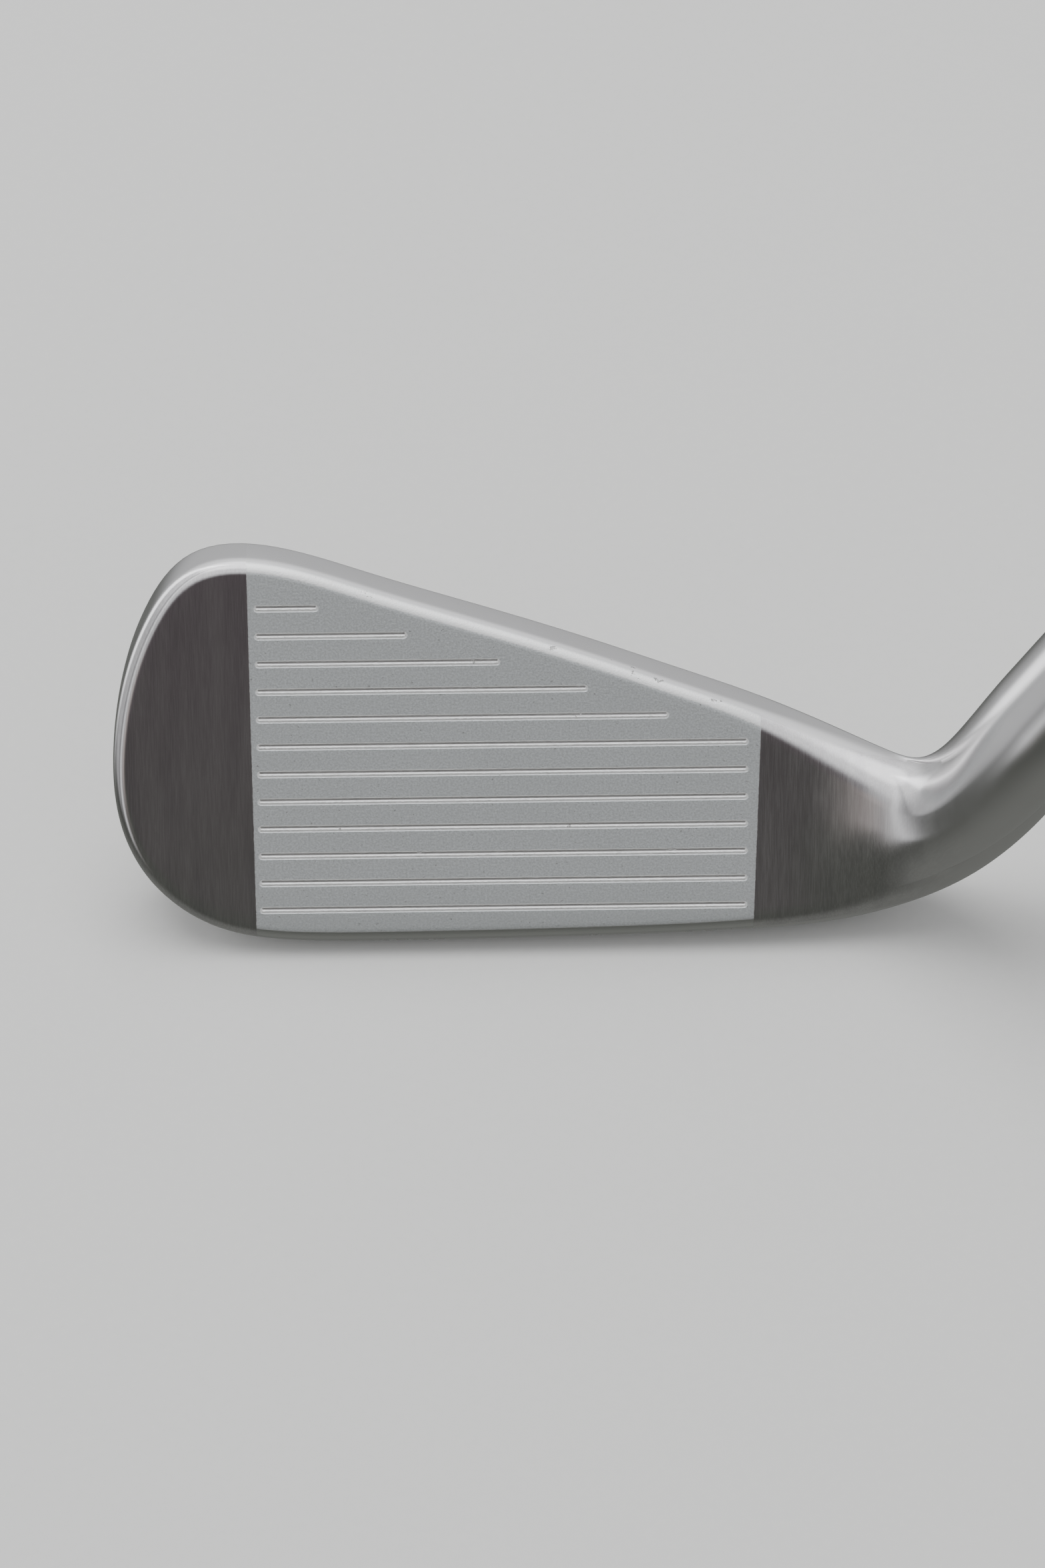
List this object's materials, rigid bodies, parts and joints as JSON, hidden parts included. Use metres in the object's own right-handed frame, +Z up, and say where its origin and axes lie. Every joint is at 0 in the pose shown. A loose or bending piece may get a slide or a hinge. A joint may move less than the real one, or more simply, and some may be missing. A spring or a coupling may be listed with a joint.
{
  "type": "iron golf club",
  "caption": "Cavity-back iron golf club with grooved steel head, ferrule, stepped steel shaft and tapered rubber grip, standing at address.",
  "frame": {"origin": "middle of the flat rest strip of the sole, below the middle of the face, on the ground", "axes": "+Z up from the ground at address, +X from the toe towards the heel and up the shaft's lean, +Y from the face to the back of the head"},
  "size_m": [0.5779, 0.0334, 0.857],
  "materials": {
    "head_chrome": "satin, with a blasted hitting area and polished toe",
    "tungsten": "turned",
    "damper": "matte",
    "adhesive": "matte",
    "badge_metal": "brushed",
    "tip_brass": "turned",
    "epoxy": "gloss",
    "ferrule_black": "gloss",
    "trim_metal": "polished",
    "shaft_chrome": "polished",
    "band_film": "gloss",
    "tape": "matte",
    "grip_rubber": "matte",
    "cap_rubber": "matte"
  },
  "bodies": {
    "root": {"club_head": "head_chrome", "toe_weight": "tungsten", "heel_weight": "tungsten", "cavity_damper": "damper", "badge_adhesive": "adhesive", "cavity_badge": "badge_metal", "shaft": "shaft_chrome", "tip_weight": "tip_brass", "hosel_epoxy": "epoxy", "ferrule": "ferrule_black", "ferrule_ring_lower": "trim_metal", "ferrule_ring_upper": "trim_metal", "shaft_band": "band_film", "grip_tape": "tape", "grip": "grip_rubber", "grip_cap": "cap_rubber"}
  },
  "joints": []
}
